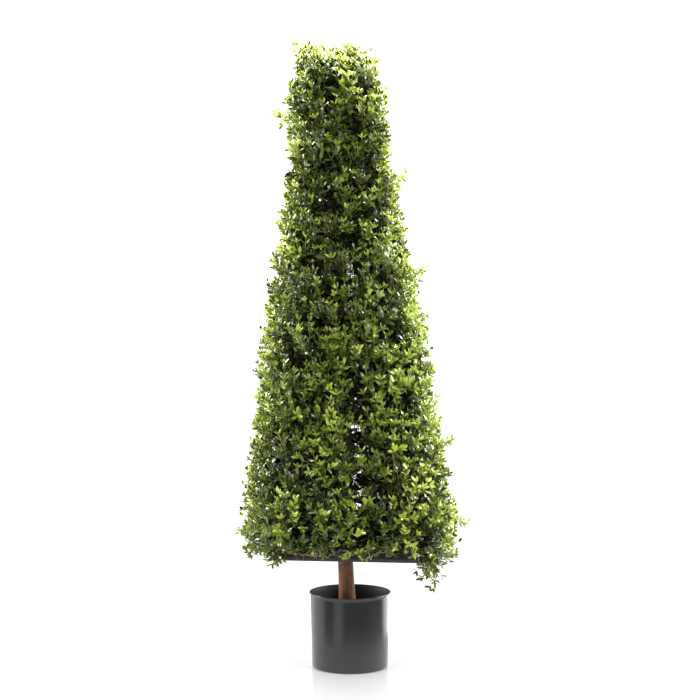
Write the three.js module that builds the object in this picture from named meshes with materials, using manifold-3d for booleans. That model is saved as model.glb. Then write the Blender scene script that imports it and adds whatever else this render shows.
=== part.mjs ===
// A cone topiary of artificial boxwood, about knee to waist high, in a black nursery pot.
//
// A weighted pot holds a peeled wooden pole. The pole carries a square base tray, and four
// faces of boxwood mat rise from the tray and lean together to a flat top, so that the cone
// is really a slim four-sided obelisk, hollow round its pole. Each face has four tiers of
// foliage, one above the other, and a crest closes the top. Each of these masses is a core
// with sprays standing out of it, and a spray is a stem that ends in a leaf and has others
// round it.
//
// Units are millimetres, +Z is up, +X is the right-hand side and -Y is the front. The origin
// is the middle of the pot's flat underside.

import * as THREE from "three";
import { ConvexGeometry } from "three/addons/geometries/ConvexGeometry.js";
import { mergeVertices } from "three/addons/utils/BufferGeometryUtils.js";
import Module from "manifold-3d";

const wasm = await Module();
wasm.setup();

// ---------------------------------------------------------------- driving dimensions

const TOTAL_HEIGHT = 1150;
const CLEARANCE = 0.3; // between pieces that rest on or stand in each other

const POT_HEIGHT = 140;
const POT_FOOT_RADIUS = 69;
const POT_NECK_RADIUS = 71.5; // top of the plain wall, under the flare
const POT_RIM_RADIUS = 74.5;
const POT_FLARE_HEIGHT = 12;
const POT_WALL = 1.8;
const POT_FLOOR = 3;
const POT_EDGE_RADIUS = 3.5; // rounding between wall and underside
const POT_SIDES = 30;
const FILL_HEIGHT = 102; // top of the cement that weights the pot

// The pole stands in the cement, leans left and straightens as it climbs. Each station is
// [distance of its middle from the pot's axis, its radius, its height].
const POLE_STATIONS = [
  [0, 16.2, 10],
  [-6, 15.5, 140],
  [-9, 14.2, 216],
  [-14, 13.6, 420],
  [-20, 11, 1050],
];
const POLE_SIDES = 12;
const POLE_RINGS = 13;
const POLE_LUMP = 0.5; // how far its surface swells and dips

const TRAY_Z = 216; // underside of the base tray
const TRAY_SIDE = 245;
const PLATE_THICKNESS = 6;
const BATTEN_HEIGHT = 20;
const BATTEN_THICKNESS = 12;
const MATS_Z = TRAY_Z + PLATE_THICKNESS + BATTEN_HEIGHT + CLEARANCE;
const MATS_TOP_Z = 1075;
const MATS_HALF_FOOT = TRAY_SIDE / 2;
const MATS_HALF_TOP = 30;

const CROWN_LEAN = -22 / (MATS_TOP_Z - TRAY_Z); // the crown leans left as it rises
const CROWN_TILT = -0.021; // and its tray sits lower on the right

const REACH_FOOT = 76; // foliage outside the mats' plane, at the tray
const REACH_TOP = 52; // and at the crest
const CORE_SHARE = 0.5; // the core's part of that reach
const CORE_WAIST = 0.8; // how much of that is left where two tiers meet
const CORE_INSIDE = 6; // the core's depth behind the mats' plane
const CORE_COLUMNS = 4; // facets across a core and up it
const CORE_ROWS = 4;
const CORE_LUMP = 0.3; // how far its surface swells and dips, as a share of its thickness
// The mats part here, and daylight shows through the front and back.
const PARTING = { left: 8, right: 25, bottom: 272, top: 438 };

const TIERS = 4;
const TIER_SLOPES = [0, 5, 11, 19, 30]; // how the joints between tiers rise outwards, in degrees
const FACES = ["right", "back", "left", "front"];
const SPRAY_ROWS = 3; // rows of sprays in a tier
const SPRAY_PITCH = 84; // distance between the sprays of a row
const SPRAY_SPREAD = 30; // how far the rows run on past the mats' corners
const SPRAY_SPAN = 0.92; // how near the corners the outer sprays get
const ROW_STAGGER = 0.25; // every second row is shifted by this share of the pitch, each way
const ROW_SCATTER = 0.5; // random parts of a spray's place in its row, and of its tilt
const COLUMN_SCATTER = 0.3;
const TILT_SCATTER = 8;
const SPRAY_TILT = { foot: -4, top: 38 }; // degrees above level, at the tray and the crest
const SPRAY_REACH = [0.88, 1]; // the shortest and the longest, as shares of the reach
const CREST_FOOT_HALF = 8; // half width of the crest's core where it starts
const CREST_RISE = 26; // the core's top above the mats
const CREST_CORNER = 0.55; // its flats' share of its width, between cut corners
const CREST_TOP_SHARE = 0.62; // its width at the top over its width at the shoulder
const CREST_SPRAYS = 8;
const CREST_TILTS = [62, 38]; // by turns, in degrees above level
const CREST_ROOT_RADIUS = 14; // where its sprays start
const CREST_ROOT_Z = MATS_TOP_Z + 8;
const STEM_ROOT_RADIUS = 3.4;
const STEM_TIP_RADIUS = 2.4;
const STEM_SUNK = 9; // depth of a stem's root in its core
const STEM_TWIST = 1.2; // random part of a spray's turn round its stem, in radians
const LEAF_SHARE = 0.66; // leaf length as a share of the reach
const STRAY_LEAF = 32; // leaf length on a spray that stands out of the outline
const LEAF_SLENDER = 0.52; // leaf width over leaf length
const LEAF_WIDEST = 0.58; // where along its length a leaf is widest
const LEAF_THICKNESS = 2;
const LEAF_SUNK = 0.3; // how far a leaf starts behind the middle of its stem
const LEAF_SPREAD = 60; // degrees between a side leaf and its stem
const LEAF_SIZES = [0.85, 1]; // the smallest and the largest side leaf
const END_LEAF = 0.6; // the leaf at a stem's end over the leaves beside it
// Where the side leaves leave the stem, as [share of its length, turn round it].
const SIDE_LEAVES = [
  [0.93, 0],
  [0.82, (2 / 3) * Math.PI],
  [0.71, (4 / 3) * Math.PI],
];

// Sprays that stand out of the clipped outline or hang below it. Each has the tier that it
// grows from, counted from 0, with CREST for the crest, its place across the face from -1 to
// 1, the height of its root, and its tip as [outwards, across, height].
const CREST = TIERS;
const STRAYS = [
  { face: "right", tier: 0, across: -0.62, rootZ: 262, tip: [150, -92, 146] },
  { face: "right", tier: 0, across: 0.1, rootZ: 285, tip: [211, 12, 268] },
  { face: "right", tier: 0, across: -0.35, rootZ: 392, tip: [186, -50, 424] },
  { face: "right", tier: 2, across: -0.2, rootZ: 700, tip: [141, -14, 733] },
  { face: "right", tier: 3, across: 0.3, rootZ: 868, tip: [112, 28, 905] },
  { face: "left", tier: 0, across: 0.2, rootZ: 272, tip: [208, 20, 248] },
  { face: "left", tier: 2, across: 0.25, rootZ: 782, tip: [134, 20, 822] },
  { face: "left", tier: 3, across: -0.3, rootZ: 968, tip: [112, -28, 1014] },
  { face: "front", tier: 0, across: -0.8, rootZ: 262, tip: [172, -120, 196] },
  { face: "left", tier: CREST, across: 0.15, rootZ: 1092, tip: [66, 10, 1148] },
  { face: "right", tier: CREST, across: -0.3, rootZ: 1096, tip: [24, -8, TOTAL_HEIGHT] },
];

// ---------------------------------------------------------------- small helpers

const UP = new THREE.Vector3(0, 0, 1);
const radians = THREE.MathUtils.degToRad;
const mix = THREE.MathUtils.lerp;
const quarterTurn = (quarter) => (quarter * Math.PI) / 2;
const outward = (turn, radius, z) =>
  new THREE.Vector3(radius * Math.cos(turn), radius * Math.sin(turn), z);

// A repeatable stream of numbers from 0 to 1.
function seededRandom(seed) {
  let state = seed | 0;
  return () => {
    state = (state + 0x6d2b79f5) | 0;
    let t = Math.imul(state ^ (state >>> 15), 1 | state);
    t = (t + Math.imul(t ^ (t >>> 7), 61 | t)) ^ t;
    return ((t ^ (t >>> 14)) >>> 0) / 4294967296;
  };
}

// A closed geometry as a manifold-3d solid.
function solidOf(geometry) {
  const bare = new THREE.BufferGeometry().setAttribute(
    "position",
    (geometry.index ? geometry.toNonIndexed() : geometry).getAttribute("position"),
  );
  const merged = mergeVertices(bare, 1e-3);
  const corners = merged.index.array;
  const kept = [];
  for (let i = 0; i < corners.length; i += 3) {
    const [a, b, c] = [corners[i], corners[i + 1], corners[i + 2]];
    if (a !== b && b !== c && c !== a) kept.push(a, b, c);
  }
  return new wasm.Manifold(
    new wasm.Mesh({
      numProp: 3,
      vertProperties: merged.getAttribute("position").array,
      triVerts: new Uint32Array(kept),
    }),
  );
}

// The largest body of a solid, as a geometry: scraps and sealed hollows are dropped.
function geometryOf(solid) {
  const bodies = solid.decompose();
  const main = bodies.reduce((a, b) => (b.volume() > a.volume() ? b : a));
  const mesh = main.getMesh();
  return new THREE.BufferGeometry()
    .setAttribute("position", new THREE.BufferAttribute(mesh.vertProperties, 3))
    .setIndex(new THREE.BufferAttribute(mesh.triVerts, 1))
    .toNonIndexed();
}

function joined(solids) {
  return solids.reduce((whole, solid) => whole.add(solid));
}

function material(colour, roughness, metalness = 0) {
  return new THREE.MeshStandardMaterial({ color: colour, roughness, metalness });
}

function named(name, geometry, look) {
  geometry.computeVertexNormals();
  const mesh = new THREE.Mesh(geometry, look);
  mesh.name = name;
  return mesh;
}

const POT_LOOK = material(0x2b2c2e, 0.3);
const CEMENT_LOOK = material(0x1d1c1b, 0.95);
const POLE_LOOK = material(0x7a5233, 0.7);
const PLATE_LOOK = material(0x54453a, 0.8);
const BATTEN_LOOK = material(0x25231f, 0.75);
const FOLIAGE_LOOK = material(0x4f7a22, 0.5);

// ---------------------------------------------------------------- pot and fill

// The outer wall's radius: straight, then flaring out to the rim.
function potRadius(z) {
  const neckZ = POT_HEIGHT - POT_FLARE_HEIGHT;
  const wall = mix(POT_FOOT_RADIUS, POT_NECK_RADIUS, Math.min(z / neckZ, 1));
  const flare = Math.max(0, (z - neckZ) / POT_FLARE_HEIGHT);
  return wall + (POT_RIM_RADIUS - POT_NECK_RADIUS) * flare ** 2;
}

function potGeometry() {
  const outer = [];
  for (let i = 0; i <= 3; i++) {
    const turn = (i / 3) * (Math.PI / 2);
    outer.push([
      potRadius(0) - POT_EDGE_RADIUS * (1 - Math.sin(turn)),
      POT_EDGE_RADIUS * (1 - Math.cos(turn)),
    ]);
  }
  const wallZ = [POT_HEIGHT - POT_FLARE_HEIGHT, POT_HEIGHT - 4, POT_HEIGHT];
  for (const z of wallZ) outer.push([potRadius(z), z]);
  const inner = [...wallZ].reverse().map((z) => [potRadius(z) - POT_WALL, z]);
  inner.push([potRadius(0) - POT_WALL, POT_FLOOR]);
  const profile = [[0, 0], ...outer, ...inner, [0, POT_FLOOR]];
  const lathe = new THREE.LatheGeometry(
    profile.map(([r, z]) => new THREE.Vector2(r, z)),
    POT_SIDES,
  );
  return lathe.rotateX(Math.PI / 2);
}

function fillGeometry() {
  const bottom = POT_FLOOR + CLEARANCE;
  const side = POT_WALL + CLEARANCE;
  const profile = [
    [0, bottom],
    [potRadius(bottom) - side, bottom],
    [potRadius(FILL_HEIGHT) - side, FILL_HEIGHT],
    [0, FILL_HEIGHT],
  ];
  const lathe = new THREE.LatheGeometry(
    profile.map(([r, z]) => new THREE.Vector2(r, z)),
    POT_SIDES,
  );
  lathe.rotateX(Math.PI / 2);
  return geometryOf(solidOf(lathe).subtract(solidOf(poleGeometry(CLEARANCE))));
}

// ---------------------------------------------------------------- pole

const POLE_FOOT_Z = POLE_STATIONS[0][2];
const POLE_TIP_Z = POLE_STATIONS.at(-1)[2];

// The pole's middle and its radius at a height, read between its stations.
function poleAt(z) {
  const last = POLE_STATIONS.length - 2;
  const next = POLE_STATIONS.findIndex((station) => station[2] > z);
  const i = next < 0 ? last : Math.max(next - 1, 0);
  const [from, to] = [POLE_STATIONS[i], POLE_STATIONS[i + 1]];
  const share = (z - from[2]) / (to[2] - from[2]);
  return { middle: mix(from[0], to[0], share), radius: mix(from[1], to[1], share) };
}

// The peeled pole, or with extra above 0 the larger shape that makes room for it.
function poleGeometry(extra = 0) {
  const length = POLE_TIP_Z - POLE_FOOT_Z + 2 * extra;
  const pole = new THREE.CylinderGeometry(1, 1, length, POLE_SIDES, POLE_RINGS);
  pole.rotateX(Math.PI / 2).translate(0, 0, POLE_FOOT_Z - extra + length / 2);
  const place = pole.getAttribute("position");
  for (let i = 0; i < place.count; i++) {
    const [x, y, z] = [place.getX(i), place.getY(i), place.getZ(i)];
    const turn = Math.atan2(y, x);
    const lump = Math.sin(z / 37 + 2 * turn) + 0.6 * Math.sin(z / 61 - turn);
    const { middle, radius } = poleAt(z);
    const grown = radius + POLE_LUMP * lump + extra;
    place.setXYZ(i, middle + x * grown, y * grown, z);
  }
  return pole;
}

// ---------------------------------------------------------------- base tray

// The crown's frame: its skew, with its origin in the middle of the tray's underside.
const crownFrame = new THREE.Matrix4().set(
  1, 0, CROWN_LEAN, 0,
  0, 1, 0, 0,
  CROWN_TILT, 0, 1, TRAY_Z,
  0, 0, 0, 1,
);

function plateGeometry() {
  const plate = new THREE.BoxGeometry(TRAY_SIDE, TRAY_SIDE, PLATE_THICKNESS);
  plate.translate(0, 0, PLATE_THICKNESS / 2);
  const hole = poleGeometry(CLEARANCE).applyMatrix4(crownFrame.clone().invert());
  return geometryOf(solidOf(plate).subtract(solidOf(hole)));
}

// A batten along one side of the tray, outwards +X, butting against the next one's end.
function battenGeometry() {
  const length = TRAY_SIDE - BATTEN_THICKNESS - CLEARANCE;
  const batten = new THREE.BoxGeometry(BATTEN_THICKNESS, length, BATTEN_HEIGHT);
  return batten.translate(
    (TRAY_SIDE - BATTEN_THICKNESS) / 2,
    (TRAY_SIDE - length) / 2,
    PLATE_THICKNESS + CLEARANCE + BATTEN_HEIGHT / 2,
  );
}

// ---------------------------------------------------------------- foliage

// Heights below are above the ground and before the crown's skew.
const rise = (z) => (z - TRAY_Z) / (MATS_TOP_Z - TRAY_Z);
const halfWidth = (z) => mix(MATS_HALF_FOOT, MATS_HALF_TOP, rise(z));
const reach = (z) => mix(REACH_FOOT, REACH_TOP, Math.min(rise(z), 1));

// Distance from the axis to a square of half width plus out, its corners cut back to the
// same distance from the mats' own corners, in the direction turned from the face's middle.
function sectionRadius(half, out, turn) {
  const flat = (half + out) / Math.cos(turn);
  const corner = (2 * half + Math.SQRT2 * out) / (Math.cos(turn) + Math.abs(Math.sin(turn)));
  return Math.min(flat, corner);
}

// The joint below tier j is the surface z = foot + slope * outwards. It passes through the
// mats' plane at the tier's own height.
function joint(j) {
  const z = mix(MATS_Z, MATS_TOP_Z, j / TIERS);
  const slope = Math.tan(radians(TIER_SLOPES[j]));
  return { slope, foot: z - slope * halfWidth(z) };
}

// Where a surface that stands uAt(z) from the axis meets a joint.
function meeting({ slope, foot }, uAt) {
  let z = foot;
  for (let i = 0; i < 6; i++) z = foot + slope * uAt(z);
  return z;
}

// A core is a slab behind its face, mitred towards the next faces, with a lumpy outside
// that is thickest half way up the tier.
function faceCore(tier, random) {
  const [low, high] = [joint(tier), joint(tier + 1)];
  const thickness = reach(mix(MATS_Z, MATS_TOP_Z, (tier + 0.5) / TIERS)) * CORE_SHARE;
  const core = new THREE.BoxGeometry(1, 2, 1, 1, CORE_COLUMNS, CORE_ROWS);
  const place = core.getAttribute("position");
  for (let i = 0; i < place.count; i++) {
    const [inner, across, up] = [place.getX(i) < 0, place.getY(i), place.getZ(i) + 0.5];
    const onMitre = Math.abs(across) > 0.99;
    const onEdge = onMitre || up < 0.01 || up > 0.99;
    const lump = inner || onEdge ? 0 : mix(-CORE_LUMP, CORE_LUMP, random());
    const out = thickness * (mix(CORE_WAIST, 1, Math.sin(Math.PI * up)) + lump);
    const turn = (across * Math.PI) / 4;
    const uAt = (z) => {
      if (inner) return halfWidth(z) - CORE_INSIDE;
      return sectionRadius(halfWidth(z), out, turn) * Math.cos(turn);
    };
    const z = mix(meeting(low, uAt) + CLEARANCE, meeting(high, uAt) - CLEARANCE, up);
    const mitre = onMitre ? Math.sign(across) * CLEARANCE : 0;
    place.setXYZ(i, uAt(z), uAt(z) * Math.tan(turn) - mitre, z);
  }
  return solidOf(core);
}

// The slot where the mats part, seen along Y: way is 1 on the front and -1 on the back.
function partingSlot(way) {
  const { left, right, bottom, top } = PARTING;
  const slot = new THREE.BoxGeometry(4 * MATS_HALF_FOOT, right - left, top - bottom);
  return solidOf(slot.translate(0, (way * (left + right)) / 2, (bottom + top) / 2));
}

// The crest's core: it sits in the funnel that the top joint leaves, over the pole's tip.
function crestCore() {
  const funnel = joint(TIERS);
  const onFunnel = (half) => funnel.foot + funnel.slope * half + CLEARANCE;
  const shoulder = MATS_HALF_TOP + REACH_TOP * CORE_SHARE * CORE_WAIST;
  const levels = [
    [CREST_FOOT_HALF, onFunnel(CREST_FOOT_HALF)],
    [shoulder, onFunnel(shoulder)],
    [shoulder * CREST_TOP_SHARE, MATS_TOP_Z + CREST_RISE],
  ];
  const points = levels.flatMap(([half, z]) =>
    FACES.flatMap((_, quarter) =>
      [-CREST_CORNER, CREST_CORNER].map((across) =>
        new THREE.Vector3(half, half * across, z).applyAxisAngle(UP, quarterTurn(quarter)),
      ),
    ),
  );
  return solidOf(new ConvexGeometry(points));
}

// A flat eight-faced leaf that starts at root and points along, its flat side facing flatwise.
function leafGeometry(length, root, along, flatwise) {
  const leaf = new THREE.OctahedronGeometry(1);
  const place = leaf.getAttribute("position");
  for (let i = 0; i < place.count; i++) {
    const [x, y, z] = [place.getX(i), place.getY(i), place.getZ(i)];
    const share = Math.abs(x) > 0.5 ? (x + 1) / 2 : LEAF_WIDEST;
    place.setXYZ(
      i,
      share * length - LEAF_SUNK,
      (y * length * LEAF_SLENDER) / 2,
      (z * LEAF_THICKNESS) / 2,
    );
  }
  const across = new THREE.Vector3().crossVectors(flatwise, along).normalize();
  const up = new THREE.Vector3().crossVectors(along, across).normalize();
  return leaf.applyMatrix4(
    new THREE.Matrix4().makeBasis(along, across, up).setPosition(root),
  );
}

// A three-sided stem that tapers from root to tip.
function stemGeometry(root, tip) {
  const length = root.distanceTo(tip);
  const stem = new THREE.CylinderGeometry(STEM_TIP_RADIUS, STEM_ROOT_RADIUS, length, 3);
  const along = new THREE.Vector3().subVectors(tip, root).normalize();
  const turn = new THREE.Quaternion().setFromUnitVectors(new THREE.Vector3(0, 1, 0), along);
  return stem
    .translate(0, length / 2, 0)
    .applyQuaternion(turn)
    .translate(root.x, root.y, root.z);
}

// One spray: its stem, the leaf at the stem's end, and the leaves round it, whose flat
// sides face outwards.
function sprayPieces({ root, tip, leafLength }, random) {
  const along = new THREE.Vector3().subVectors(tip, root).normalize();
  const endLength = END_LEAF * leafLength;
  const stemLength = Math.max(root.distanceTo(tip) - endLength + LEAF_SUNK, STEM_SUNK);
  const stemEnd = root.clone().addScaledVector(along, stemLength);
  const side = new THREE.Vector3()
    .crossVectors(along, UP)
    .normalize()
    .applyAxisAngle(along, (random() - 0.5) * STEM_TWIST);
  const pieces = [stemGeometry(root, stemEnd), leafGeometry(endLength, stemEnd, along, side)];
  for (const [share, turn] of SIDE_LEAVES) {
    const axis = side.clone().applyAxisAngle(along, turn);
    const direction = along.clone().applyAxisAngle(axis, radians(LEAF_SPREAD));
    const at = root.clone().lerp(stemEnd, share);
    pieces.push(leafGeometry(leafLength * mix(...LEAF_SIZES, random()), at, direction, along));
  }
  return pieces;
}

// Where one spray starts, inside the core, and where its end leaf's tip is.
function sprayLine(z, turn, random) {
  const coreOut = reach(z) * CORE_SHARE * CORE_WAIST;
  const rootRadius = sectionRadius(halfWidth(z), coreOut, turn) - STEM_SUNK;
  const tipOut = reach(z) * mix(...SPRAY_REACH, random());
  const tipRadius = sectionRadius(halfWidth(z), tipOut, turn);
  const tilt = mix(SPRAY_TILT.foot, SPRAY_TILT.top, rise(z)) + (random() - 0.5) * TILT_SCATTER;
  const lift = (tipRadius - rootRadius) * Math.tan(radians(tilt));
  return {
    root: outward(turn, rootRadius, z),
    tip: outward(turn, tipRadius, z + lift),
    leafLength: reach(z) * LEAF_SHARE,
  };
}

// The sprays of one face's tier, in the face's own frame: outwards +X, across +Y.
function tierLines(tier, random) {
  const lines = [];
  const rowHeight = (MATS_TOP_Z - MATS_Z) / TIERS / SPRAY_ROWS;
  for (let row = 0; row < SPRAY_ROWS; row++) {
    const rowZ = MATS_Z + (tier * SPRAY_ROWS + row + 0.5) * rowHeight;
    const width = 2 * (halfWidth(rowZ) + SPRAY_SPREAD);
    const columns = Math.max(1, Math.round(width / SPRAY_PITCH));
    for (let column = 0; column < columns; column++) {
      const shift = row % 2 ? ROW_STAGGER : -ROW_STAGGER;
      const place = column + 0.5 + shift + (random() - 0.5) * COLUMN_SCATTER;
      const across = ((2 * place) / columns - 1) * SPRAY_SPAN;
      const z = rowZ + (random() - 0.5) * ROW_SCATTER * rowHeight;
      lines.push(sprayLine(z, Math.atan(across), random));
    }
  }
  return lines;
}

function strayLine({ tier, across, rootZ, tip }) {
  const turn = Math.atan(across);
  const coreOut = reach(rootZ) * CORE_SHARE * CORE_WAIST;
  const inCore = sectionRadius(halfWidth(rootZ), coreOut, turn) - STEM_SUNK;
  return {
    root: outward(turn, tier === CREST ? CREST_ROOT_RADIUS : inCore, rootZ),
    tip: new THREE.Vector3(...tip),
    leafLength: STRAY_LEAF,
  };
}

// True where every corner of a piece keeps to the tier's own space: between the two
// diagonals of the plan, above its lower joint or clear of the tray, and below its upper
// joint.
function keepsToTier(geometry, tier) {
  const place = geometry.getAttribute("position");
  const [low, high] = [joint(tier), joint(tier + 1)];
  const gap = 2 * CLEARANCE;
  for (let i = 0; i < place.count; i++) {
    const [u, v, z] = [place.getX(i), place.getY(i), place.getZ(i)];
    const clearOfTray = tier === 0 && u > TRAY_SIDE / 2 + 2;
    if (Math.abs(v) > u - gap || z > high.foot + high.slope * u - gap) return false;
    if (!clearOfTray && z < low.foot + low.slope * u + gap) return false;
  }
  return true;
}

// The same for the crest, which keeps inside the funnel of the top joint.
function keepsToCrest(geometry) {
  const place = geometry.getAttribute("position");
  const funnel = joint(TIERS);
  for (let i = 0; i < place.count; i++) {
    const u = Math.max(Math.abs(place.getX(i)), Math.abs(place.getY(i)));
    const z = place.getZ(i);
    const floor = funnel.foot + funnel.slope * u + 2 * CLEARANCE;
    if (z < floor || z > TOTAL_HEIGHT) return false;
  }
  return true;
}

// A core joined with its sprays. A stem or leaf that would leave the space is skipped.
function massSolid(core, lines, keeps, random) {
  const solids = [core];
  for (const line of lines) {
    const [stem, ...leaves] = sprayPieces(line, random);
    if (!keeps(stem)) continue;
    solids.push(solidOf(stem), ...leaves.filter(keeps).map(solidOf));
  }
  return joined(solids);
}

function faceMass(face, tier) {
  const random = seededRandom(1000 + 97 * FACES.indexOf(face) + 13 * tier);
  const lines = tierLines(tier, random);
  const strays = STRAYS.filter((stray) => stray.face === face && stray.tier === tier);
  lines.push(...strays.map(strayLine));
  let core = faceCore(tier, random);
  if (tier === 0 && face === "front") core = core.subtract(partingSlot(1));
  if (tier === 0 && face === "back") core = core.subtract(partingSlot(-1));
  return massSolid(core, lines, (shape) => keepsToTier(shape, tier), random);
}

function crestMass() {
  const random = seededRandom(4242);
  const lines = [];
  for (let i = 0; i < CREST_SPRAYS; i++) {
    const turn = (i / CREST_SPRAYS) * 2 * Math.PI;
    const tilt = radians(CREST_TILTS[i % 2]);
    const length = CREST_ROOT_RADIUS + REACH_TOP * mix(0.95, 1.1, random());
    const root = outward(turn, CREST_ROOT_RADIUS, CREST_ROOT_Z);
    const tip = outward(turn, length * Math.cos(tilt), length * Math.sin(tilt)).add(root);
    lines.push({ root, tip, leafLength: REACH_TOP * LEAF_SHARE });
  }
  for (const stray of STRAYS.filter(({ tier }) => tier === CREST)) {
    const line = strayLine(stray);
    const turn = quarterTurn(FACES.indexOf(stray.face));
    line.root.applyAxisAngle(UP, turn);
    line.tip.applyAxisAngle(UP, turn);
    lines.push(line);
  }
  return massSolid(crestCore(), lines, keepsToCrest, random);
}

// ---------------------------------------------------------------- the assembly

function buildPot() {
  const pot = new THREE.Group();
  pot.add(named("pot", potGeometry(), POT_LOOK));
  pot.add(named("pot_cement", fillGeometry(), CEMENT_LOOK));
  return pot;
}

function buildTray() {
  const tray = new THREE.Group();
  tray.add(named("tray_plate", plateGeometry(), PLATE_LOOK));
  FACES.forEach((face, quarter) => {
    const batten = named(`tray_batten_${face}`, battenGeometry(), BATTEN_LOOK);
    batten.rotation.z = quarterTurn(quarter);
    tray.add(batten);
  });
  return tray;
}

function buildFoliage() {
  const foliage = new THREE.Group();
  foliage.position.z = -TRAY_Z; // the foliage is worked out in heights above the ground
  FACES.forEach((face, quarter) => {
    const side = new THREE.Group();
    side.rotation.z = quarterTurn(quarter);
    for (let tier = 0; tier < TIERS; tier++) {
      const geometry = geometryOf(faceMass(face, tier));
      side.add(named(`foliage_${face}_${tier + 1}`, geometry, FOLIAGE_LOOK));
    }
    foliage.add(side);
  });
  foliage.add(named("foliage_crest", geometryOf(crestMass()), FOLIAGE_LOOK));
  return foliage;
}

const topiary = new THREE.Group();
topiary.add(buildPot());
topiary.add(named("trunk", poleGeometry(), POLE_LOOK));

const crown = new THREE.Group();
crown.matrixAutoUpdate = false;
crown.matrix.copy(crownFrame);
crown.add(buildTray());
crown.add(buildFoliage());
topiary.add(crown);

export default topiary;
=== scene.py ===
# %% [markdown]
# # An artificial boxwood topiary, leaf by leaf
#
# The real thing is a slim four-sided cone. A weighted plastic pot holds a peeled wooden pole,
# the pole carries a square tray, and four faces of boxwood mat lean together from the tray to
# a flat top. A mat is a net of dark plastic with sprigs plugged into it, and each sprig ends
# in twigs with pairs of small moulded leaves.
#
# This script dresses it: it keeps the hidden cement, gives pot, pole and tray their real
# surfaces, and grows the foliage by the rule of the model's solids, taken on to finer twigs.
# Everything is in metres, and sizes that come from the real object are written times `MM`.

# %% The frame
import math
from random import Random

import bmesh
import bpy
import numpy as np
from mathutils import Matrix, Vector, noise


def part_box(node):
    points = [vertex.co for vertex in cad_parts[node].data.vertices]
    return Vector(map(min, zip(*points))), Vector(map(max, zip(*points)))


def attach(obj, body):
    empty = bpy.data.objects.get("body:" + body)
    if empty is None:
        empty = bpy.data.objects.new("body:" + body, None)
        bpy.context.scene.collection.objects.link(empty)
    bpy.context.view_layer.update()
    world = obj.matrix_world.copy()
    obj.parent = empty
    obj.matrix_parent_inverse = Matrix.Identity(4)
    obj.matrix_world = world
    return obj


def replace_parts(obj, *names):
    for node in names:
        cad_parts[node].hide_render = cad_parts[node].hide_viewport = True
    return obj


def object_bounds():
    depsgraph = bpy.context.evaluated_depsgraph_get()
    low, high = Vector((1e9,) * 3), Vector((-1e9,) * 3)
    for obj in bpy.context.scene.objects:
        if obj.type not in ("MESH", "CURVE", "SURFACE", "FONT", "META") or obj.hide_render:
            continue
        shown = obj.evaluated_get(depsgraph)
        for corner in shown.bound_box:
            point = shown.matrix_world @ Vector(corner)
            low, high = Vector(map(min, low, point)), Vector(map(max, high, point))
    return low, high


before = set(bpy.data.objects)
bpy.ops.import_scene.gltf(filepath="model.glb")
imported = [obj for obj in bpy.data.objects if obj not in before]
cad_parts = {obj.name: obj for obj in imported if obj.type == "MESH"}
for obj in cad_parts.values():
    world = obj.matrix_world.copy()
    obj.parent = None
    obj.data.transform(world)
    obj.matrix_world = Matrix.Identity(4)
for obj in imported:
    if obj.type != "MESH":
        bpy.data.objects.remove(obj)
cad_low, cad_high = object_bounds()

MM = 0.001
print("CAD box", [round(v, 3) for v in (*cad_low, *cad_high)])

# %% [markdown]
# ## Small helpers
#
# A colour is easiest to judge as an sRGB hex value, but shaders work on linear light, so one
# function turns one into the other. Another adds a node with its settings and links, which
# keeps each material readable as a list of what feeds what.

# %% Helpers for colours, nodes and pieces
def linear(hex_colour):
    """The linear RGBA of an sRGB colour such as "4a6b2f"."""
    shares = [int(hex_colour[i : i + 2], 16) / 255 for i in (0, 2, 4)]
    return (*[s / 12.92 if s <= 0.04045 else ((s + 0.055) / 1.055) ** 2.4 for s in shares], 1)


def add_node(material, kind, links=None, **settings):
    """Adds a node. A setting is an attribute or, by its label, an input; links feed inputs."""
    tree = material.node_tree
    node = tree.nodes.new(kind)
    for name, value in settings.items():
        if hasattr(node, name):
            setattr(node, name, value)
        else:
            node.inputs[name.replace("_", " ")].default_value = value
    for name, source in (links or {}).items():
        tree.links.new(source, node.inputs[name])
    return node


def new_material(name, colour, roughness, **settings):
    """A material and its Principled node, with the plain values set on the node itself."""
    material = bpy.data.materials.new(name)
    material.use_nodes = True
    shader = material.node_tree.nodes["Principled BSDF"]
    shader.inputs["Base Color"].default_value = linear(colour)
    shader.inputs["Roughness"].default_value = roughness
    for label, value in settings.items():
        shader.inputs[label.replace("_", " ")].default_value = value
    return material, shader


def feed(material, shader, **sources):
    """Links node outputs into the shader's inputs, such as Base_Color or Normal."""
    for label, source in sources.items():
        material.node_tree.links.new(source, shader.inputs[label.replace("_", " ")])


def piece_from(name, mesh, material):
    """A finished piece at the origin, on the one body, with its material and slot."""
    piece = bpy.data.objects.new(name, mesh)
    bpy.context.scene.collection.objects.link(piece)
    mesh.materials.append(material)
    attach(piece, "root")
    print(f"{name}: {len(mesh.polygons)} faces")
    return piece


def mesh_from(bm, name):
    """The bmesh as a mesh with smooth faces, and the bmesh freed."""
    mesh = bpy.data.meshes.new(name)
    bm.to_mesh(mesh)
    bm.free()
    mesh.shade_smooth()
    return mesh

# %% [markdown]
# ## The camera
#
# A product like this is shot from a few metres away with a long lens, so that it stands
# upright and keeps its shape. The camera stands 3.5 m away, a little above the crown's
# middle, looks a few degrees down and sees all of it.

# %% Camera
scene = bpy.context.scene
camera = bpy.data.objects.new("camera", bpy.data.cameras.new("camera"))
camera.data.lens = 98.1
camera.data.sensor_width = 36
camera.location = (0, -3.5, 0.8)
camera.rotation_euler = (math.radians(90 - 3.47), 0, 0)
scene.collection.objects.link(camera)
scene.camera = camera
print("camera at", tuple(camera.location))

# %% [markdown]
# ## The floor
#
# The plant stands on a round sheet of white acrylic, just glossy enough to mirror the pot
# faintly. Its edge lies well behind the plant and melts into the white backdrop. What the
# pot mirrors is not the sheet but the cards under it, since a real table ends close by.

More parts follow.
